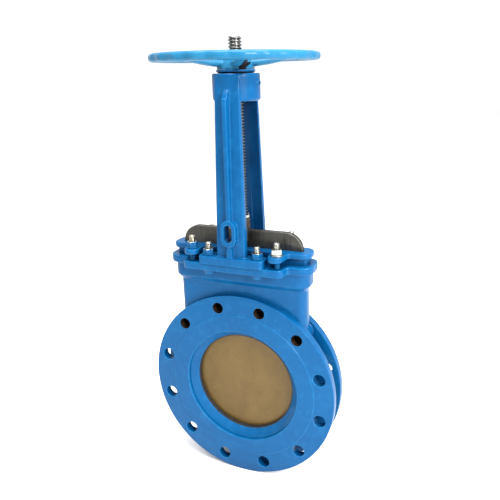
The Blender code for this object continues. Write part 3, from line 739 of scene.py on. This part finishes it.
def flange_holes():
    tools = []
    for k in range(12):
        degrees = 15 + 30 * k
        x, z = at_angle(degrees, PCD_R)
        rim = FACE_Y - RAISED_FACE_H
        for facing in (ALONG_Y, ALONG_Y.inverted()):
            place = moved(x, 0, z) @ facing
            if degrees in TAPPED_ANGLES:
                rings = hole_tool(TAPPED_HOLE_R, -rim, -TAPPED_HOLE_END - 0.002, 0.0012, 40, TAPPED_PITCH)
            elif degrees == LUG_ANGLE:
                rings = hole_tool(BOLT_HOLE_R, -rim, -LUG_HOLE_END - 0.002, 0.0008)
            else:
                rings = hole_tool(BOLT_HOLE_R, -rim, -FLANGE_BACK + 0.003, 0.0008)
            tools.append(skin(rings, matrix=place))
    return together(tools)


def body_casting():
    voxel = 0.0016
    solids = [chest(), neck(), plate(arc_corners(mirrored(BONNET_QUARTER), 10), BONNET_Z, 0.0006)]
    for spot in corners_of(YOKE_STUD_XY).values():
        solids.append(rod(BOSS_R, *BOSS_Z, 40, 0.001, moved(*spot)))
    for degrees in TAPPED_ANGLES:
        x, z = at_angle(degrees, PCD_R)
        place = moved(x, 0, z) @ ALONG_Y
        solids.append(rod(TAPPED_BOSS_R, -TAPPED_BOSS_END, TAPPED_BOSS_END, 48, matrix=place))
    x, z = at_angle(LUG_ANGLE, LUG_CENTRE_R)
    turn = Matrix.Rotation(math.radians(90 - LUG_ANGLE), 4, "Y")
    solids.append(plate(rect(*LUG_HALF, 0.004), (-0.032, 0.028), 0.002, moved(x, 0, z) @ turn))
    for facing in (ALONG_Y, ALONG_Y.inverted()):
        radius, front, back = FLANGE_CORE
        solids.append(rod(radius, -front, -back, 128, matrix=facing))
    rough = cast(solids, voxel, 5)
    port = [(0, -0.05, 0), (PORT_R, -0.05, 0)]
    port += [(PORT_R, -SEAT_POCKET_Y, 0), (SEAT_POCKET_R, -SEAT_POCKET_Y, 0)]
    port += [(radius, -y, 0) for radius, y, _ in reversed(port)]
    slot = skin([half_round_below(SLOT_HALF_X, y, 0.240) for y in (-SLOT_HALF_Y, SLOT_HALF_Y)])
    box = plate(rect(*BOX_HALF, 0.004), (BOX_FLOOR_Z, 0.300))
    top = plate(rect(0.2, 0.1, 0.01), (BONNET_Z[1], 0.31))
    whole = worked(
        rough,
        boolean("DIFFERENCE", turned(port, 256, ALONG_Y, closed=False)),
        boolean("UNION", flange(ALONG_Y)),
        boolean("UNION", flange(ALONG_Y.inverted())),
        boolean("DIFFERENCE", slot),
        boolean("DIFFERENCE", box),
        boolean("DIFFERENCE", flange_holes()),
        boolean("DIFFERENCE", top),
    )
    spots = [at_angle(degrees, PCD_R) for degrees in TAPPED_ANGLES]

    def in_tapped_hole(p):
        inside = np.zeros(len(p), bool)
        for x, z in spots:
            inside |= np.hypot(p[:, 0] - x, p[:, 2] - z) < TAPPED_HOLE_R + 0.0007
        return inside & (np.abs(p[:, 1]) < FACE_Y - RAISED_FACE_H - 0.0004)

    piece("body_casting_finished", whole, ["body_casting"], 32, MACHINED, in_tapped_hole)


def seats():
    outer, inner = PORT_R, RETAINER_BORE_R
    retainer = [(inner, -RETAINER_NOSE_Y, 0.0004), (outer - 0.0006, -RETAINER_Y, 0.0003)]
    retainer += [(outer, -RETAINER_Y, 0), (outer, -SEAT_POCKET_Y, 0), (inner, -SEAT_POCKET_Y, 0)]
    near, far, wide = SEAT_POCKET_Y - GAP, GATE_HALF_Y + GAP + 0.0001, SEAT_POCKET_R - 2 * GAP
    lip = inner - 0.0001
    seal = [(SEAT_BORE_R, -SEAT_LIP_Y, 0.0006), (lip, -SEAT_LIP_Y, 0), (lip, -near, 0), (wide, -near, 0)]
    seal += [(wide, -far, 0), (SEAT_BORE_R, -far, 0.0004)]
    for side, facing in (("front", ALONG_Y), ("rear", ALONG_Y.inverted())):
        piece(f"seat_retainer_{side}_fine", turned(retainer, 192, facing), [f"seat_retainer_{side}"])
        piece(f"seat_seal_{side}_fine", turned(seal, 192, facing), [f"seat_seal_{side}"])


# Gate and gland


def gate_outline(y, inward=0.0):
    half = GATE_HALF_X - inward
    middle_x, middle_z = half - GATE_CORNER_R, GATE_TOP_Z - inward - GATE_CORNER_R
    turns = [math.pi / 2 * k / 16 for k in range(17)]
    ring = [
        (middle_x + GATE_CORNER_R * math.cos(t), y, middle_z + GATE_CORNER_R * math.sin(t)) for t in turns
    ]
    ring += [(-x, y, z) for x, y, z in reversed(ring)]
    turns = [math.pi + math.pi * k / 96 for k in range(97)]
    return ring + [(half * math.cos(t), y, half * math.sin(t)) for t in turns]


def gate():
    soft_edge = 0.0011
    layers = [(GATE_HALF_Y, soft_edge), (GATE_HALF_Y - 0.0004, 0.0004), (GATE_HALF_Y - soft_edge, 0)]
    layers += [(-y, inward) for y, inward in reversed(layers)]
    sheet = skin([gate_outline(*layer) for layer in layers])
    piece("gate_plate_ground", worked(sheet, boolean("DIFFERENCE", clevis_bolt_holes())), ["gate_plate"], 25)


def gland():
    outline = arc_corners(mirrored(GLAND_QUARTER), 12)
    rough = cast([plate(outline, GLAND_Z, 0.0012)], 0.0012, 5)
    nose_outline = rect(BOX_HALF[0] - GAP, BOX_HALF[1] - GAP, 0.0036)
    nose = plate(nose_outline, (GLAND_NOSE_Z, GLAND_Z[1] - 0.004), 0.0004)
    tools = [plate(rect(*GLAND_SLOT_HALF, 0.002), (0.25, 0.32)), *stud_holes(GLAND_STUD_XY, (0.27, 0.32))]
    whole = worked(rough, boolean("UNION", nose), boolean("DIFFERENCE", together(tools)))
    piece("gland_finished", whole, ["gland"], 40)


# Fasteners


def screw(
    radius, pitch, depth, z_range, steps=40, per_turn=8, hand=1, flat=0.25, matrix=None, run_out=0.0012
):
    """A threaded rod: its radius falls and rises along a helix, and both ends are rounded off."""
    low, high = z_range
    rows = max(8, int(round((high - low) / pitch * per_turn)))
    turns = 2 * math.pi * np.arange(steps) / steps
    rings = [[(0, 0, low)]]
    for k in range(rows + 1):
        z = low + (high - low) * k / rows
        phase = (z / pitch - hand * turns / (2 * math.pi)) % 1.0
        slope = np.abs(phase * 2 - 1)
        groove = np.clip((slope - flat) / (1 - 2 * flat), 0, 1)
        inward = min(z - low, high - z)
        limit = radius - max(0.0, run_out - inward) * 0.9
        r = np.minimum(radius - depth * groove, limit)
        rings.append([(rr * math.cos(t), rr * math.sin(t), z) for rr, t in zip(r, turns)])
    rings.append([(0, 0, high)])
    return skin(rings, matrix=matrix)


def hex_bar(across_flats, z_range, bore=0.0, spot=(0, 0), turn=0.0, both=True, matrix=None, steps=72):
    """A hexagon with the conical chamfer of a turned blank and, if bore is set, a countersunk hole."""
    low, high = z_range
    crown = across_flats / 2 * 0.955
    slope = math.tan(math.radians(30))
    place = moved(*spot) @ Matrix.Rotation(math.radians(turn), 4, "Z")
    turns = [2 * math.pi * k / steps for k in range(steps)]
    reach = [across_flats / 2 / math.cos((t + math.pi / 6) % (math.pi / 3) - math.pi / 6) for t in turns]
    sink = 0.0006

    def flat_ring(radius, z):
        return [(radius * math.cos(t), radius * math.sin(t), z) for t in turns]

    def hex_ring(z, sign):
        drops = [max(0.0, r - crown) * slope for r in reach]
        return [(r * math.cos(t), r * math.sin(t), z - sign * d) for r, t, d in zip(reach, turns, drops)]

    rings = [flat_ring(crown, low), hex_ring(low, -1 if both else 0)]
    rings += [hex_ring(high, 1), flat_ring(crown, high)]
    if bore:
        inner = [flat_ring(bore + sink, high), flat_ring(bore, high - sink), flat_ring(bore, low + sink)]
        rings += [*inner, flat_ring(bore + sink, low)]
        return skin(rings, closed=True, matrix=(matrix or SAME) @ place)
    return skin(rings, matrix=(matrix or SAME) @ place)


def washer(z_range, spot):
    low, high = z_range
    bore, outer = WASHER_BORE_R, WASHER_R
    corners = [(bore, low, 0.0002), (outer, low, 0.0004), (outer, high, 0.0005), (bore, high, 0.0003)]
    return turned(corners, 64, moved(*spot), arc=3)


def fasteners(owner, spread, stud_z, washer_z, nut_z, across_flats, turns, painted_below=0.0, sprayed=()):
    """Four studs with a washer and a nut each. In the corners named in sprayed the washer is painted,
    and the nut up to a bare top."""
    for (tag, spot), turn in zip(corners_of(spread).items(), turns):
        stud_node, washer_node, nut_node = (f"{owner}_{kind}_{tag}" for kind in ("stud", "washer", "nut"))
        bar = screw(THREAD_R, THREAD_PITCH, THREAD_DEPTH, stud_z, matrix=moved(*spot), per_turn=7)
        second = MATS["body_paint"] if painted_below else None
        piece(f"{stud_node}_threaded", bar, [stud_node], 50, second, lambda p: p[:, 2] < painted_below)
        second = MATS["body_paint"] if tag in sprayed else None
        disc = washer(washer_z, spot)
        piece(f"{washer_node}_fine", disc, [washer_node], 30, second, lambda p: p[:, 2] > 0)
        nut = hex_bar(across_flats, nut_z, NUT_HOLE_R, spot, turn)
        piece(f"{nut_node}_fine", nut, [nut_node], 25, second, lambda p: p[:, 2] < nut_z[1] - BARE_TIP)


# Yoke


def eased(layers, steps=6):
    """More rows between the given ones, following a smooth curve through them."""
    rows = []
    points = [np.array(layer, float) for layer in layers]
    for i in range(len(points) - 1):
        before = points[max(i - 1, 0)]
        one, two = points[i], points[i + 1]
        after = points[min(i + 2, len(points) - 1)]
        for k in range(steps):
            t = k / steps
            rows.append(
                0.5 * (2 * one + (two - before) * t + (2 * before - 5 * one + 4 * two - after) * t * t
                       + (3 * one - before - 3 * two + after) * t ** 3)
            )
    rows.append(points[-1])
    return rows


def leg_plate(turn):
    sections = []
    for half, near, far, z in LEG_LAYERS:
        right = [(half, -near, z), (half, -far + 0.002, z), (half - 0.002, -far, z)]
        sections.append(right + [(-x, y, z) for x, y, z in reversed(right)])
    return skin(sections, matrix=turn)


def leg_rib(turn):
    sections = []
    for half, far, z in eased(RIB_LAYERS):
        right = [(half + 0.001, -0.0385, z), (half, -far + 0.0012, z), (half - 0.0012, -far, z)]
        sections.append(right + [(-x, y, z) for x, y, z in reversed(right)])
    return skin(sections, matrix=turn)


def stadium(half_width, half_height, y_range, matrix=None, steps=16):
    turns = [math.pi * k / steps for k in range(steps + 1)]
    shoulder = half_height - half_width
    ring = [(half_width * math.cos(t), shoulder + half_width * math.sin(t)) for t in turns]
    ring += [(-x, -z) for x, z in ring]
    return skin([[(x, y, z) for x, z in ring] for y in y_range], matrix=matrix)


def painted_shade_between_legs(p):
    """The faces toward the stem, given a darker blue as painted shade."""
    near = np.interp(p[:, 2], [row[3] for row in LEG_LAYERS], [row[1] for row in LEG_LAYERS])
    flat = (np.abs(p[:, 1]) < near + 0.0009) & (p[:, 2] > 0.294) & (p[:, 2] < HEAD_Z[0])
    recess = (np.hypot(p[:, 0], p[:, 1]) < HEAD_RECESS_R + 0.0005) & (p[:, 2] < HEAD_WEB_TOP_Z)
    return flat | recess


def yoke():
    voxel = 0.0011
    low, high = HEAD_Z
    head = [(0, low, 0), (HEAD_R, low, 0.006), (HEAD_R, high, 0.003), (0, high, 0)]
    solids = [turned(head, 96, closed=False)]
    for turn in (SAME, HALF_TURN):
        foot_place = turn @ moved(0, -YOKE_STUD_XY[1] - 0.0005)
        solids += [leg_plate(turn), leg_rib(turn)]
        solids.append(plate(rect(*FOOT_HALF, 0.008), (FOOT_Z[0] - 0.002, FOOT_Z[1]), 0.001, foot_place))
    at_slot = moved(0, 0, SLOT_CENTRE_Z)
    solids.append(stadium(*SLOT_RIM_HALF, (-0.0650, -0.0500), at_slot))
    radius, reach, oil_z = OIL_BOSS
    solids.append(rod(radius, -reach, reach, 40, 0.001, moved(0, 0, oil_z) @ ALONG_X))
    rough = cast(solids, voxel, 6)
    base = plate(rect(0.1, 0.1, 0.01), (0.26, FOOT_Z[0]))
    tools = stud_holes(YOKE_STUD_XY, (0.27, 0.31))
    tools.append(rod(OIL_HOLE_R, 0.020, 0.060, 32, matrix=moved(0, 0, oil_z) @ ALONG_X))
    slot = stadium(*LEG_SLOT_HALF, (-0.08, -0.03), at_slot)
    whole = worked(
        rough,
        boolean("DIFFERENCE", base),
        boolean("DIFFERENCE", slot),
        boolean("DIFFERENCE", together(tools)),
        boolean("DIFFERENCE", rod(HEAD_RECESS_R, 0.570, HEAD_RECESS_TOP_Z, 96, phase=0.3)),
        boolean("DIFFERENCE", rod(HEAD_WEB_R, 0.600, 0.640, 96, phase=0.2)),
        boolean("DIFFERENCE", rod(NUT_CHAMBER_R, HEAD_WEB_TOP_Z, 0.660, 96, phase=0.6)),
        boolean("DIFFERENCE", plate(rect(0.1, 0.1, 0.01), (high, 0.68))),
    )
    # The faces toward the stem take the darker blue as painted shade.
    piece("yoke_finished", whole, ["yoke"], 38, MATS["painted_shade_inside"], painted_shade_between_legs)


def cap():
    seat, top, foot = HEAD_Z[1] + GAP, CAP_TOP_Z, CAP_FOOT_Z
    corners = [
        (CAP_BORE_R, foot, 0.0003),
        (NUT_CHAMBER_R - GAP, foot, 0.0005),
        (NUT_CHAMBER_R - GAP, seat, 0),
        (CAP_GROOVE_R, seat, 0),
        (CAP_GROOVE_R, CAP_GROOVE_TOP_Z, 0),
        (CAP_R, CAP_GROOVE_TOP_Z, 0.0008),
        (CAP_R, top, 0.0012),
        (CAP_BORE_R, top, 0.0005),
    ]
    # The cap's foot and groove take near-black iron as painted shade.
    piece("yoke_cap_fine", turned(corners, 128), ["yoke_cap"], 30, SHADOW_IRON,
          lambda p: p[:, 2] < CAP_SHADE_BELOW_Z)


# Stem and the pieces that lift with it


def stem():
    bar = screw(STEM_R, STEM_PITCH, 0.0030, STEM_Z, 64, 14, -1, 0.24, run_out=0.0015)
    piece("stem_threaded", bar, ["stem"], 50)
    low, high = LOCK_NUT_Z
    bore, outer = LOCK_NUT_BORE_R, LOCK_NUT_R
    ring = [(bore, low, 0.0002), (outer, low, 0.0008), (outer, high, 0.0008), (bore, high, 0.0005)]
    notches = []
    for k in range(4):
        turn = Matrix.Rotation(math.pi / 2 * (k + 0.5), 4, "Z")
        place = turn @ moved(0.0175, 0)
        notches.append(plate(rect(0.002, 0.002, 0.0003, 2), (low - 0.002, high + 0.002), 0, place))
    nut = worked(turned(ring, 96), boolean("DIFFERENCE", together(notches)))
    piece("stem_lock_nut_fine", nut, ["stem_lock_nut"], 30)


def clevis():
    rough = cast([plate(rect(*CLEVIS_HALF, CLEVIS_CORNER_R, 10), CLEVIS_Z, 0.001)], 0.0009, 4)
    gap = plate(rect(0.05, GATE_HALF_Y + GAP, 0.0005, 2), (0.30, GATE_TOP_Z + GAP))
    whole = worked(
        rough,
        boolean("DIFFERENCE", gap),
        boolean("DIFFERENCE", clevis_bolt_holes()),
        boolean("DIFFERENCE", rod(STEM_R + GAP, 0.335, 0.37, 64)),
    )
    piece("stem_clevis_finished", whole, ["stem_clevis"], 35)
    for side, x in (("left", -CLEVIS_BOLT_X), ("right", CLEVIS_BOLT_X)):
        place = moved(x, 0, CLEVIS_BOLT_Z) @ ALONG_Y
        near = CLEVIS_HALF[1] + GAP
        reach = (-near - 0.003, near + 0.0095)
        shank = screw(CLEVIS_BOLT_R, CLEVIS_BOLT_PITCH, 0.0007, reach, 32, 7, matrix=place, run_out=0.0006)
        flipped = place @ Matrix.Rotation(math.pi, 4, "X")
        head = hex_bar(CLEVIS_BOLT_FLATS, (near, near + 0.0055), turn=10, both=False, matrix=flipped)
        nut = hex_bar(CLEVIS_BOLT_FLATS, (near, near + 0.0065), turn=20, matrix=place)
        whole = worked(shank, boolean("UNION", head), boolean("UNION", nut))
        piece(f"clevis_bolt_{side}_fine", whole, [f"clevis_bolt_{side}"], 30)


# Stem nut and handwheel


def stem_nut():
    (low, high), (flange_low, flange_high) = NUT_Z, NUT_FLANGE_Z
    corners = [
        (NUT_BORE_R, low, 0.0005),
        (NUT_BARREL_R, low, 0.0005),
        (NUT_BARREL_R, flange_low, 0.0004),
        (NUT_FLANGE_R, flange_low, 0.0005),
        (NUT_FLANGE_R, flange_high, 0.0005),
        (NUT_BARREL_R, flange_high, 0.0004),
        (NUT_BARREL_R, high, 0.0008),
        (NUT_BORE_R, high, 0.0008),
    ]
    keyway = plate(rect(KEYWAY_HALF_X, 0.0028, 0.0003, 2), (0.651, 0.6695), 0, moved(0, NUT_BARREL_R))
    nut = worked(turned(corners, 128), boolean("DIFFERENCE", keyway))
    piece("stem_nut_fine", nut, ["stem_nut"])


def squared(values, power=0.75):
    return np.sign(values) * np.abs(values) ** power


def rim():
    """The wheel's rim, with finger lobes round its outside."""
    around, across = LOBES * 16, 32
    middle = WHEEL_R - RIM_HALF_W - LOBE_DEPTH
    roll = 2 * math.pi * np.arange(across) / across
    rings = []
    for i in range(around):
        turn = 2 * math.pi * i / around
        lobe = LOBE_DEPTH * math.cos(LOBES * turn)
        radius = middle + RIM_HALF_W * squared(np.cos(roll)) + lobe * np.maximum(0, np.cos(roll))
        z = WHEEL_RIM_Z + RIM_HALF_H * squared(np.sin(roll))
        rings.append([(r * math.cos(turn), r * math.sin(turn), h) for r, h in zip(radius, z)])
    return skin(rings, closed=True)


def spoke(turn):
    turns = [2 * math.pi * k / 32 for k in range(32)]
    sections = []
    for reach, z, half_w, half_h in eased(SPOKE_STATIONS):
        sections.append([(reach, half_w * math.cos(t), z + half_h * math.sin(t)) for t in turns])
    return skin(sections, matrix=turn)


def painted_shadow_under_spoke(p):
    """The underside of the first spoke and the low side of the hub next to it, painted dark as shadow."""
    reach = np.hypot(p[:, 0], p[:, 1])
    turn = np.degrees(np.arctan2(p[:, 1], p[:, 0])) - FIRST_SPOKE_DEG
    middle = np.interp(reach, [row[0] for row in SPOKE_STATIONS], [row[1] for row in SPOKE_STATIONS])
    height = p[:, 2] - HUB_Z[0]
    low_side = (reach < 0.044) & (height > 0.0035) & (height < 0.0125)
    on_hub = low_side & (turn > 2) & (turn < 16 + height * 2800)
    underside = (reach >= 0.030) & (reach < 0.138) & (p[:, 2] < middle - 0.0010)
    on_spoke = underside & (turn > 0.5) & (turn < 25)
    return on_hub | on_spoke


def handwheel():
    voxel = 0.0010
    low, high = HUB_Z
    hub = [
        (0, low, 0),
        (HUB_R + 0.004, low, 0.001),
        (HUB_R + 0.002, low + 0.012, 0.004),
        (HUB_R - 0.001, high, 0.003),
        (0, high, 0),
    ]
    solids = [rim(), turned(hub, 96, closed=False)]
    for k in range(SPOKES):
        solids.append(spoke(Matrix.Rotation(math.radians(FIRST_SPOKE_DEG + 360 * k / SPOKES), 4, "Z")))
    rough = cast(solids, voxel, 6)
    keyway = plate(rect(KEYWAY_HALF_X, 0.0045, 0.0003, 2), (0.640, 0.690), 0, moved(0, NUT_BARREL_R + 0.0015))
    whole = worked(
        rough,
        boolean("DIFFERENCE", rod(NUT_BARREL_R + GAP, 0.64, 0.69, 96)),
        boolean("DIFFERENCE", keyway),
        boolean("DIFFERENCE", plate(rect(0.06, 0.06, 0.01), (0.64, low))),
    )
    # The first spoke's underside and the hub beside it take near-black iron as a painted shadow.
    piece("handwheel_finished", whole, ["handwheel"], 45, SHADOW_IRON, painted_shadow_under_spoke)
    nut = hex_bar(WHEEL_NUT_FLATS, WHEEL_NUT_Z, NUT_BARREL_R + GAP, turn=10, steps=120)
    piece("wheel_nut_fine", nut, ["wheel_nut"], 25)


body_casting()
seats()
gate()
gland()
fasteners("gland", GLAND_STUD_XY, GLAND_STUD_Z, GLAND_WASHER_Z, GLAND_NUT_Z, GLAND_NUT_FLATS,
          GLAND_NUT_TURNS, GLAND_Z[0], ["front_left"])
fasteners("yoke", YOKE_STUD_XY, YOKE_STUD_Z, YOKE_WASHER_Z, YOKE_NUT_Z, YOKE_NUT_FLATS,
          YOKE_NUT_TURNS, 0.0, ["front_left", "front_right"])
yoke()
cap()
stem()
clevis()
stem_nut()
handwheel()

# Floor, light and camera

FLOOR_Z = CAD_BOX[0].z - 0.0004
FLOOR_HALF = 12
WORLD_STRENGTH = 1.12
LIGHT_TARGET = (0, 0, 0.3)
# Name, place, size, power
LIGHTS = (
    ("overhead", (0.1, -0.3, 2.5), 1.6, 125),
    ("right", (1.9, -1.1, 1.3), 0.9, 105),
)
CAMERA_PLACE = (0.4632, -0.9789, 0.6447)
CAMERA_YAW, CAMERA_PITCH, CAMERA_ROLL = 20.6, -13.61, -1.08
SENSOR_MM = 36
LENS_MM = 40.0176
SHIFT_X, SHIFT_Y = -0.0712, -0.0898


def floor():
    bm = bmesh.new()
    bmesh.ops.create_grid(bm, x_segments=2, y_segments=2, size=FLOOR_HALF)
    mesh = bpy.data.meshes.new("floor")
    bm.to_mesh(mesh)
    bm.free()
    obj = bpy.data.objects.new("floor", mesh)
    obj.location.z = FLOOR_Z
    bpy.context.scene.collection.objects.link(obj)
    n = Nodes("floor")
    n.done(Base_Color=(0.9, 0.9, 0.9), Roughness=0.9, Specular_IOR_Level=0.1)
    mesh.materials.append(n.mat)


def area_light(name, place, size, power):
    data = bpy.data.lights.new(name, "AREA")
    data.shape = "RECTANGLE"
    data.size, data.size_y = size, size
    data.energy = power
    obj = bpy.data.objects.new(name, data)
    obj.location = place
    obj.rotation_euler = (Vector(LIGHT_TARGET) - Vector(place)).to_track_quat("-Z", "Y").to_euler()
    bpy.context.scene.collection.objects.link(obj)


def world():
    made = bpy.data.worlds.new("studio")
    made.use_nodes = True
    made.node_tree.nodes["Background"].inputs["Color"].default_value = (1, 1, 1, 1)
    made.node_tree.nodes["Background"].inputs["Strength"].default_value = WORLD_STRENGTH
    bpy.context.scene.world = made


def camera():
    yaw, pitch, roll = (math.radians(v) for v in (CAMERA_YAW, CAMERA_PITCH, CAMERA_ROLL))
    ahead = Vector((-math.sin(yaw), math.cos(yaw), 0))
    right = Vector((math.cos(yaw), math.sin(yaw), 0))
    up = Vector((0, 0, 1))
    view = ahead * math.cos(pitch) + up * math.sin(pitch)
    tilt = up * math.cos(pitch) - ahead * math.sin(pitch)
    side = right * math.cos(roll) + tilt * math.sin(roll)
    top = tilt * math.cos(roll) - right * math.sin(roll)
    data = bpy.data.cameras.new("camera")
    data.sensor_width = SENSOR_MM
    data.lens = LENS_MM
    data.shift_x, data.shift_y = SHIFT_X, SHIFT_Y
    data.clip_start, data.clip_end = 0.05, 60
    obj = bpy.data.objects.new("camera", data)
    turn = Matrix((side, top, -view)).transposed()
    obj.matrix_world = Matrix.Translation(CAMERA_PLACE) @ turn.to_4x4()
    bpy.context.scene.collection.objects.link(obj)
    bpy.context.scene.camera = obj


floor()
world()
for light in LIGHTS:
    area_light(*light)
camera()
bpy.context.scene.view_settings.view_transform = "Standard"
